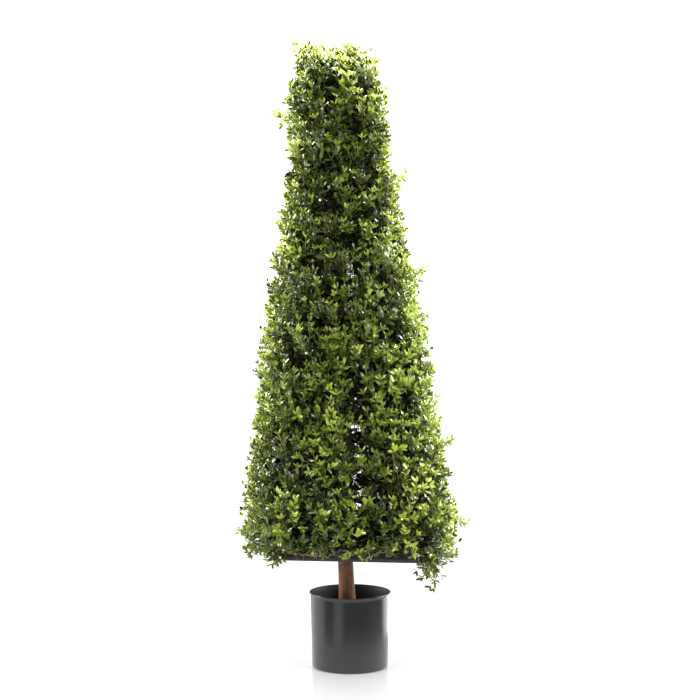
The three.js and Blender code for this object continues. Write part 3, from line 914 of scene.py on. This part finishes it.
def grow_spray(mass, root, tip, greens):
    """A stem with its side twigs, in one set of greens."""
    lift = mix(*TWIG_LIFT, min(max(rise(root.z) / LIFT_RISE, 0), 1))
    # A stem that would leave its space is cut shorter until it fits.
    while not mass.keeps(tip) and (tip - root).length > LEAF_LENGTH:
        tip = root.lerp(tip, 0.9)
    stem = tip - root
    span, along = stem.length, stem.normalized()
    sag = UP * span * lift * STEM_SAG
    mass.twig((root, root.lerp(tip, 0.5) - sag, tip), greens, bare=STEM_BARE)
    side = turned(along.orthogonal().normalized(), mass.random() * 2 * math.pi, along)
    for i, share in enumerate(TWIG_SHARES):
        spread = math.radians(mix(*TWIG_SPREAD, share))
        direction = turned(along, spread, turned(side, i * GOLDEN_ANGLE, along))
        # No twig reaches much past the stem's own tip.
        length = min(TWIG_LENGTH * span, (1.02 - share) * span / math.cos(spread))
        length *= mass.between(*TWIG_SCATTER)
        start = root.lerp(tip, share)
        bend = start + direction * length * TWIG_BEND
        end = start + (direction + UP * lift).normalized() * length
        twig_greens = NEW_GREENS[int(mass.random() * 2)] if mass.random() < NEW_TWIGS else greens
        if mass.keeps(end):
            mass.twig((start, bend, end), twig_greens)
    for i in range(LOW_TWIGS):
        turn = mass.random() * 2 * math.pi
        direction = turned(along, math.radians(LOW_SPREAD), turned(side, turn, along))
        start = root.lerp(tip, LOW_START + LOW_STEP * i)
        end = start + direction * span * LOW_LENGTH
        mass.twig((start, start.lerp(end, 0.5), end), LOW_GREENS, 0.1, LOW_LEAF)


# %% [markdown]
# ## Where nothing grows
#
# A leaf is left out where it would cut through the tray, poke into the hollow behind the
# net, leave the crown's reach, or close one of the gaps that one can look through. Smooth
# noise makes the reach swell and dip, since no mat is clipped quite even.

# %% Keeping clear
# Each gap is [across, height, half its width, half its height] seen from the front, in mm.
GAPS = [
    (13, 450, 9, 18),
    (14, 370, 8, 18),
    (3, 512, 3, 9),
    (20, 332, 4, 9),
    (78, 402, 3, 13),
    (-64, 350, 3, 8),
    (10, 738, 3, 8),
]
EYE_Z = 800 * MM
SIGHT_SLOPE = 0.07  # one looks slightly down, through a lower gap in the back
BEHIND_NET = 4 * MM
TRAY_CLEAR = 3 * MM
PAST_REACH = 14 * MM
ROUGHNESS, ROUGH_STEP = 12 * MM, 38 * MM  # the crown's outline swells and dips
HANG_UNEVEN, HANG_STEP = 17 * MM, 17 * MM
# The lowest leaves against the tray, at the crown's sides and at its front and back.
HANG_SIDE, HANG_FRONT = -6 * MM, 14 * MM
FOOT_Z = 265 * MM
FOOT_ROUNDING = 0.4
DOME_Z = 1060 * MM
DOME_DROP = 38 * MM  # how much the reach has shrunk at the very top


def face_depth(point):
    """0 at the net and 1 at the edge of the reach."""
    return (point.x - half_width(point.z)) / reach(point.z)


def dome_drop(z):
    """How much the rounding of the top takes from the reach."""
    share = max(z - DOME_Z, 0) / (TOTAL_HEIGHT - DOME_Z)
    return DOME_DROP * share * share


def uneven(across):
    """How much lower or higher the leaves end, along a face's foot."""
    return HANG_UNEVEN * noise.noise(Vector((across / HANG_STEP, 0, 0)))


def face_keeper(face):
    """A test for points of one face, in its own frame."""
    seen = {"front": 1, "back": -1}.get(face, 0)
    lowest = TRAY_Z + (HANG_FRONT if seen else HANG_SIDE)
    gaps = [[v * MM for v in gap] for gap in GAPS] if seen else []
    for gap in gaps:
        gap[1] -= (EYE_Z - gap[1]) * SIGHT_SLOPE if face == "back" else 0

    def keeps(point):
        out, across, z = point
        beside = max(out, abs(across))
        if beside < TRAY_SIDE / 2 + TRAY_CLEAR and z < MATS_Z:
            return False
        if z < lowest + uneven(across):
            return False
        edge = half_width(z) + reach(z) + PAST_REACH - dome_drop(z)
        edge -= max(FOOT_Z - z, 0) * FOOT_ROUNDING
        edge += ROUGHNESS * noise.noise(Vector(point) / ROUGH_STEP)
        if not half_width(z) - BEHIND_NET < out < edge:
            return False
        for middle, height, half, tall in gaps:
            if abs(seen * across - middle) < half and abs(z - height) < tall:
                return False
        return z < TOTAL_HEIGHT

    return keeps


def crest_keeper(point):
    edge = MATS_HALF_TOP + REACH_TOP - dome_drop(point.z)
    return point.z < TOTAL_HEIGHT and math.hypot(point.x, point.y) < edge


def below_top(point):
    return point.z < TOTAL_HEIGHT


print(len(GAPS), "gaps kept open")

# %% [markdown]
# ## The four faces
#
# The rows and columns of clumps are spaced like the model's sprays. Every second row is
# shifted, and each clump's place, tilt and reach are scattered, by more than in the model and
# by other random numbers. Within a clump, five sprays stand like the spots of a five on a die.

# %% Growing the faces
CLUMP_ROWS = 3
CLUMP_PITCH = 84 * MM
CLUMP_SPREAD = 30 * MM
CLUMP_SPAN = 0.97
FIVE_STEP = 0.24
FIVE = [(x * FIVE_STEP, y * FIVE_STEP) for x, y in [(-1, -1), (1, -1), (0, 0), (-1, 1), (1, 1)]]
CLUMP_FAN = 14  # degrees by which a clump's upper sprays tilt up and its lower ones down
FIVE_SCATTER = 0.16
ROW_STAGGER = 0.25
CLUMP_SCATTER = 0.5
CLUMP_TILT = {"foot": -10, "top": 34}
CLUMP_TILT_SCATTER = 24
SPRAY_TILT_SCATTER = 16
CLUMP_REACH = [0.72, 1.03]
SPRAY_REACH = [0.88, 1.03]
OWN_GREENS = 0.45  # the share of sprays with other greens than their clump's


def spray_line(z, turn, tilt, share):
    """Root at the net and tip at a share of the reach, lifted by the tilt."""
    root_radius = section_radius(half_width(z), 0, turn)
    tip_radius = section_radius(half_width(z), reach(z) * share, turn)
    lift = (tip_radius - root_radius) * math.tan(math.radians(tilt))
    return outward(turn, root_radius, z), outward(turn, tip_radius, z + lift)


def grow_clump(mass, z, across, row_height, columns):
    tilt = mix(CLUMP_TILT["foot"], CLUMP_TILT["top"], rise(z))
    tilt += mass.between(-0.5, 0.5) * CLUMP_TILT_SCATTER
    share = mass.between(*CLUMP_REACH)
    greens = deal_greens(mass.random)
    for aside, above in FIVE:
        aside += mass.between(-0.5, 0.5) * FIVE_SCATTER
        above += mass.between(-0.5, 0.5) * FIVE_SCATTER
        spray_greens = deal_greens(mass.random) if mass.random() < OWN_GREENS else greens
        turn = math.atan(across + aside * 2 * CLUMP_SPAN / columns)
        spray_tilt = tilt + CLUMP_FAN * above / FIVE_STEP
        spray_tilt += mass.between(-0.5, 0.5) * SPRAY_TILT_SCATTER
        spray_share = share * mass.between(*SPRAY_REACH)
        line = spray_line(z + above * row_height, turn, spray_tilt, spray_share)
        grow_spray(mass, *line, spray_greens)


def grow_tier(mass, tier):
    """The clumps of one face's tier, in staggered rows."""
    row_height = (MATS_TOP_Z - MATS_Z) / TIERS / CLUMP_ROWS
    for row in range(CLUMP_ROWS):
        row_z = MATS_Z + (tier * CLUMP_ROWS + row + 0.5) * row_height
        columns = max(1, round(2 * (half_width(row_z) + CLUMP_SPREAD) / CLUMP_PITCH))
        for column in range(columns):
            shift = ROW_STAGGER if row % 2 else -ROW_STAGGER
            place = column + 0.5 + shift + mass.between(-0.5, 0.5) * CLUMP_SCATTER
            across = (2 * place / columns - 1) * CLUMP_SPAN
            z = row_z + mass.between(-0.5, 0.5) * CLUMP_SCATTER * row_height
            grow_clump(mass, z, across, row_height, columns)


FACE_SEED = 1000  # each face and tier has a seed of its own, counted on from this one

for quarter, face in enumerate(FACES):
    for tier in range(TIERS):
        seed = FACE_SEED + 97 * quarter + 13 * tier
        grow_tier(Mass(face_frames[quarter], face_depth, face_keeper(face), seed), tier)
    print(face, "face grown:", len(twig_curves), "twigs so far")

# %% [markdown]
# ## The crest
#
# Rings of sprays close the flat top. The outer ones lean far out, where they meet the
# leaves of the faces, and the inner ones stand up.

# %% Crest
# Each ring is [radius, number of sprays, tilt in degrees].
CREST_RINGS = [(30 * MM, 13, 22), (26 * MM, 12, 48), (14 * MM, 7, 66), (0, 1, 88)]
CREST_SCATTER = 20
CREST_STEP_SCATTER = 0.6  # of the step from one spray of a ring to the next
CREST_LENGTHS = [0.62, 0.98]
CREST_SEED = 4242


def crest_depth(point):
    return (point.z - MATS_TOP_Z) / REACH_TOP


crest = Mass(crown_frame, crest_depth, crest_keeper, CREST_SEED)
for radius, count, tilt in CREST_RINGS:
    for i in range(count):
        turn = (i + crest.between(0, CREST_STEP_SCATTER)) / count * 2 * math.pi
        lean = math.radians(tilt + crest.between(-0.5, 0.5) * CREST_SCATTER)
        length = REACH_TOP * crest.between(*CREST_LENGTHS)
        root = outward(turn, radius, MATS_TOP_Z)
        tip = root + outward(turn, length * math.cos(lean), length * math.sin(lean))
        grow_spray(crest, root, tip, deal_greens(crest.random))
print("crest grown:", len(twig_curves), "twigs so far")

# %% [markdown]
# ## Strays
#
# A few sprays stand out of the clipped outline or hang below it. The first eleven have the
# roots of the model's strays, and five of those end a few centimetres elsewhere. The last four
# are new, at the top and at the low right corner.

# %% Strays
# Each stray is (face, place across it, height of its root in mm, its tip in mm).
STRAYS = [
    ("right", -0.62, 262, (150, -92, 166)),
    ("right", 0.1, 285, (211, 12, 268)),
    ("right", -0.35, 392, (186, -50, 424)),
    ("right", -0.2, 700, (141, -14, 733)),
    ("right", 0.3, 868, (112, 28, 905)),
    ("left", 0.2, 272, (192, 20, 248)),
    ("left", 0.25, 782, (104, 20, 822)),
    ("left", -0.3, 968, (112, -28, 1014)),
    ("front", -0.8, 262, (144, -140, 224)),
    ("left", 0.15, 1092, (74, 6, 1143)),
    ("right", -0.3, 1096, (24, -8, 1148)),
    ("left", -0.4, 1090, (44, -6, 1146)),
    ("right", 0.4, 1080, (58, 8, 1102)),
    ("right", -0.5, 262, (154, -70, 190)),
    ("right", -0.7, 262, (140, -112, 196)),
]
STRAY_GREENS = ("mid", "olive", "fresh")
HANGING_GREENS = ("deep", "mid", "olive")
COMPANIONS = [1, 0.78]  # lengths of the stems that share a stray's root
STRAY_TWIGS = [0.4, 0.52, 0.64, 0.76, 0.88]
STRAY_SPREAD = 40
STRAY_TWIG_LENGTHS = [16 * MM, 26 * MM]
STRAY_LEAF = 14 * MM
STRAY_SCATTER = 27 * MM
STRAY_BOW = 0.15  # how much it bows up, over its span
STRAY_DROOP = 0.35  # how far a hanging one bends out, over its fall
STRAY_DEPTH = 0.85
CREST_ROOT_RADIUS = 14 * MM
STRAY_SEED = 5000


def grow_stray(mass, root, tip):
    """A slim spray, bare at its foot. One that hangs first grows outward, then down."""
    span = (tip - root).length
    droop = max(root.z - tip.z, 0)
    greens = HANGING_GREENS if droop > span / 2 else STRAY_GREENS
    bend = root.lerp(tip, 0.5) + Vector((droop * STRAY_DROOP, 0, span * STRAY_BOW))
    curve = (root, bend, tip)
    mass.twig(curve, greens, bare=0.35, leaf_length=STRAY_LEAF)
    for i, share in enumerate(STRAY_TWIGS):
        start = curve_point(curve, share)
        along = (tip - curve_point(curve, share - 0.1)).normalized()
        axis = turned(along.orthogonal().normalized(), i * GOLDEN_ANGLE, along)
        direction = turned(along, math.radians(STRAY_SPREAD), axis)
        end = start + direction * mass.between(*STRAY_TWIG_LENGTHS)
        mass.twig((start, start.lerp(end, 0.5), end), greens, 0.2, STRAY_LEAF)


def full_depth(point):
    return STRAY_DEPTH


for number, (face, across, root_z, tip) in enumerate(STRAYS):
    mass = Mass(face_frames[FACES.index(face)], full_depth, below_top, STRAY_SEED + number)
    z = root_z * MM
    radius = section_radius(max(half_width(z), MATS_HALF_TOP), 0, math.atan(across))
    root = outward(math.atan(across), radius if z < MATS_TOP_Z else CREST_ROOT_RADIUS, z)
    for share in COMPANIONS:
        # The shorter companion stands farther aside.
        aside = [mass.between(-1, 1) * (1.01 - share) * STRAY_SCATTER for _ in range(3)]
        grow_stray(mass, root, root.lerp(Vector(tip) * MM, share) + Vector(aside))
print("strays grown:", len(twig_curves), "twigs so far")

# %% [markdown]
# ## The fringe
#
# At the foot of each mat, short dark sprays hang over the upper edge of the tray. They
# come at even steps along the face, and each reaches and drops by its own amount.

# %% Fringe
FRINGE_SPRAYS = 15
FRINGE_OUT = [18 * MM, 38 * MM]
FRINGE_DROP = [6 * MM, 30 * MM]
FRINGE_RISE = 6 * MM
FRINGE_SEED = 3000
FRINGE_GREENS = [("shade", "deep", "mid"), ("shade", "mid", "olive")]

for quarter, face in enumerate(FACES):
    mass = Mass(face_frames[quarter], face_depth, face_keeper(face), FRINGE_SEED + quarter)
    for i in range(FRINGE_SPRAYS):
        turn = math.atan(2 * (i + mass.random()) / FRINGE_SPRAYS - 1)
        radius = section_radius(half_width(MATS_Z), 0, turn)
        root = outward(turn, radius, MATS_Z + FRINGE_RISE)
        down = UP * mass.between(*FRINGE_DROP)
        tip = outward(turn, radius + mass.between(*FRINGE_OUT), root.z) - down
        grow_spray(mass, root, tip, FRINGE_GREENS[i % 2])
print("fringe grown:", len(twig_curves), "twigs so far")

# %% [markdown]
# ## Bare stems
#
# Some sprigs at the foot carry no leaves and bow over the tray as thin pale arcs. Each is a
# curve that goes sideways first and then drops.

# %% Bare stems
RUNNERS = 14
RUNNER_SPAN = [-0.7, 0.45]  # of half the tray's side
RUNNER_POINTS = 9
RUNNER_SCATTER = [-0.6, 1.6]  # of the step from one to the next
RUNNER_SIDEWAYS = [7 * MM, 24 * MM]
RUNNER_OUT = [10 * MM, 32 * MM]
RUNNER_ROOT = [-14 * MM, 4 * MM]  # its height against the foot of the mats
RUNNER_BOW = [-4 * MM, 6 * MM]
RUNNER_BULGE = 6 * MM  # how far its bend stands out past its root
RUNNER_TUCK = 4 * MM  # how far its tip comes back in
RUNNER_OVERSHOOT = [0.9, 1.4]  # how far its tip goes, over how far its bend goes sideways
RUNNER_TIP = [4 * MM, 16 * MM]  # above the tray
RUNNER_RIGHTWARD = 0.55  # the share that goes to the right
RUNNER_SEED = 3500
runner_curves = []

for quarter in range(4):
    mass = Mass(face_frames[quarter], face_depth, below_top, RUNNER_SEED + quarter)
    for i in range(RUNNERS):
        place = (i + mass.between(*RUNNER_SCATTER)) / RUNNERS
        across = TRAY_SIDE / 2 * mix(*RUNNER_SPAN, place)
        sideways = mass.between(*RUNNER_SIDEWAYS)
        sideways *= 1 if mass.random() < RUNNER_RIGHTWARD else -1
        out = TRAY_SIDE / 2 + mass.between(*RUNNER_OUT)
        root = Vector((out, across, MATS_Z + mass.between(*RUNNER_ROOT)))
        bend = root + Vector((RUNNER_BULGE, sideways, mass.between(*RUNNER_BOW)))
        end = across + sideways * mass.between(*RUNNER_OVERSHOOT)
        tip = Vector((out - RUNNER_TUCK, end, TRAY_Z + mass.between(*RUNNER_TIP)))
        shares = [step / (RUNNER_POINTS - 1) for step in range(RUNNER_POINTS)]
        runner_curves.append([mass.place @ curve_point((root, bend, tip), t) for t in shares])
print("bare stems:", len(runner_curves))

print("twigs", len(twig_curves), "leaves", sum(len(s) for g in leaf_places.values() for s in g))

# %% [markdown]
# ## Joining leaves and twigs
#
# Tens of thousands of separate objects would be slow, so the leaves of one green become one
# mesh, or a few, worked out as arrays: every place is a matrix, and the leaf's points are put
# through all of them at once. Twigs are three-sided tubes that taper, joined in the same way.

# %% Joined pieces
TWIG_RADII = [1.0 * MM, 0.8 * MM, 0.5 * MM]
RUNNER_RADIUS = 0.6 * MM
MOST_LEAVES = 16000  # in one piece
TWIG_SIDES = 3
LEAF_SHARP, TWIG_SHARP = 25, 80  # degrees above which an edge stays sharp


def mesh_from_arrays(name, points, triangles, sharp):
    mesh = bpy.data.meshes.new(name)
    mesh.vertices.add(len(points))
    mesh.vertices.foreach_set("co", points.astype(np.float32).ravel())
    mesh.loops.add(3 * len(triangles))
    mesh.loops.foreach_set("vertex_index", triangles.astype(np.int32).ravel())
    mesh.polygons.add(len(triangles))
    mesh.polygons.foreach_set("loop_start", np.arange(0, 3 * len(triangles), 3))
    mesh.update(calc_edges=True)
    mesh.validate()
    mesh.shade_smooth()
    mesh.set_sharp_from_angle(angle=math.radians(sharp))
    return mesh


def repeated(triangles, first, count, points_each):
    """The triangles of count copies, each with its own points, numbered from first."""
    steps = first + points_each * np.arange(count)
    return (triangles[None] + steps[:, None, None]).reshape(-1, 3)


def joined_leaves(name, places):
    """One mesh of the leaves it is given, all of one green."""
    points, triangles, first = [], [], 0
    for (shape, faces), spots in zip(leaf_shapes, places):
        spots = np.array([[list(row) for row in spot] for spot in spots]).reshape(-1, 4, 4)
        placed = shape @ spots[:, :3, :3].transpose(0, 2, 1) + spots[:, None, :3, 3]
        points.append(placed.reshape(-1, 3))
        triangles.append(repeated(faces, first, len(spots), len(shape)))
        first += len(spots) * len(shape)
    return mesh_from_arrays(name, np.concatenate(points), np.concatenate(triangles), LEAF_SHARP)


def joined_twigs(name, curves, radii):
    """One mesh of three-sided tubes, one along each curve's points."""
    points = []
    for curve in curves:
        along = (curve[-1] - curve[0]).normalized()
        across = along.orthogonal().normalized()
        rays = [turned(across, k * 2 * math.pi / TWIG_SIDES, along) for k in range(TWIG_SIDES)]
        points += [at + ray * r for at, r in zip(curve, radii) for ray in rays]
    walls = []
    for ring in range(len(radii) - 1):
        for k in range(TWIG_SIDES):
            a, b = ring * TWIG_SIDES + k, ring * TWIG_SIDES + (k + 1) % TWIG_SIDES
            walls += [(a, b, b + TWIG_SIDES), (a, b + TWIG_SIDES, a + TWIG_SIDES)]
    last = (len(radii) - 1) * TWIG_SIDES
    one = np.array(walls + [(0, 2, 1), (last, last + 1, last + 2)])
    triangles = repeated(one, 0, len(curves), len(radii) * TWIG_SIDES)
    return mesh_from_arrays(name, np.array(points), triangles, TWIG_SHARP)


foliage_nodes = sorted(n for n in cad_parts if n.startswith("foliage"))
for green, places in leaf_places.items():
    pieces = -(-sum(len(spots) for spots in places) // MOST_LEAVES)
    for part in range(pieces):
        name = f"leaves_{green}_{part + 1}"
        mesh = joined_leaves(name, [spots[part::pieces] for spots in places])
        piece = piece_from(name, mesh, leaf_looks[green])
        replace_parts(piece, *foliage_nodes)

twig_look, _ = new_material("sprig_polyethylene", "6b7040", 0.5)
twigs = piece_from("twigs", joined_twigs("twigs", twig_curves, TWIG_RADII), twig_look)
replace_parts(twigs, *foliage_nodes)
runner_look, _ = new_material("pale_sprig_polyethylene", "a0a682", 0.45)
runner_mesh = joined_twigs("runners", runner_curves, [RUNNER_RADIUS] * RUNNER_POINTS)
runners = piece_from("runners", runner_mesh, runner_look)
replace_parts(runners, *foliage_nodes)
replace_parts(nets, *foliage_nodes)
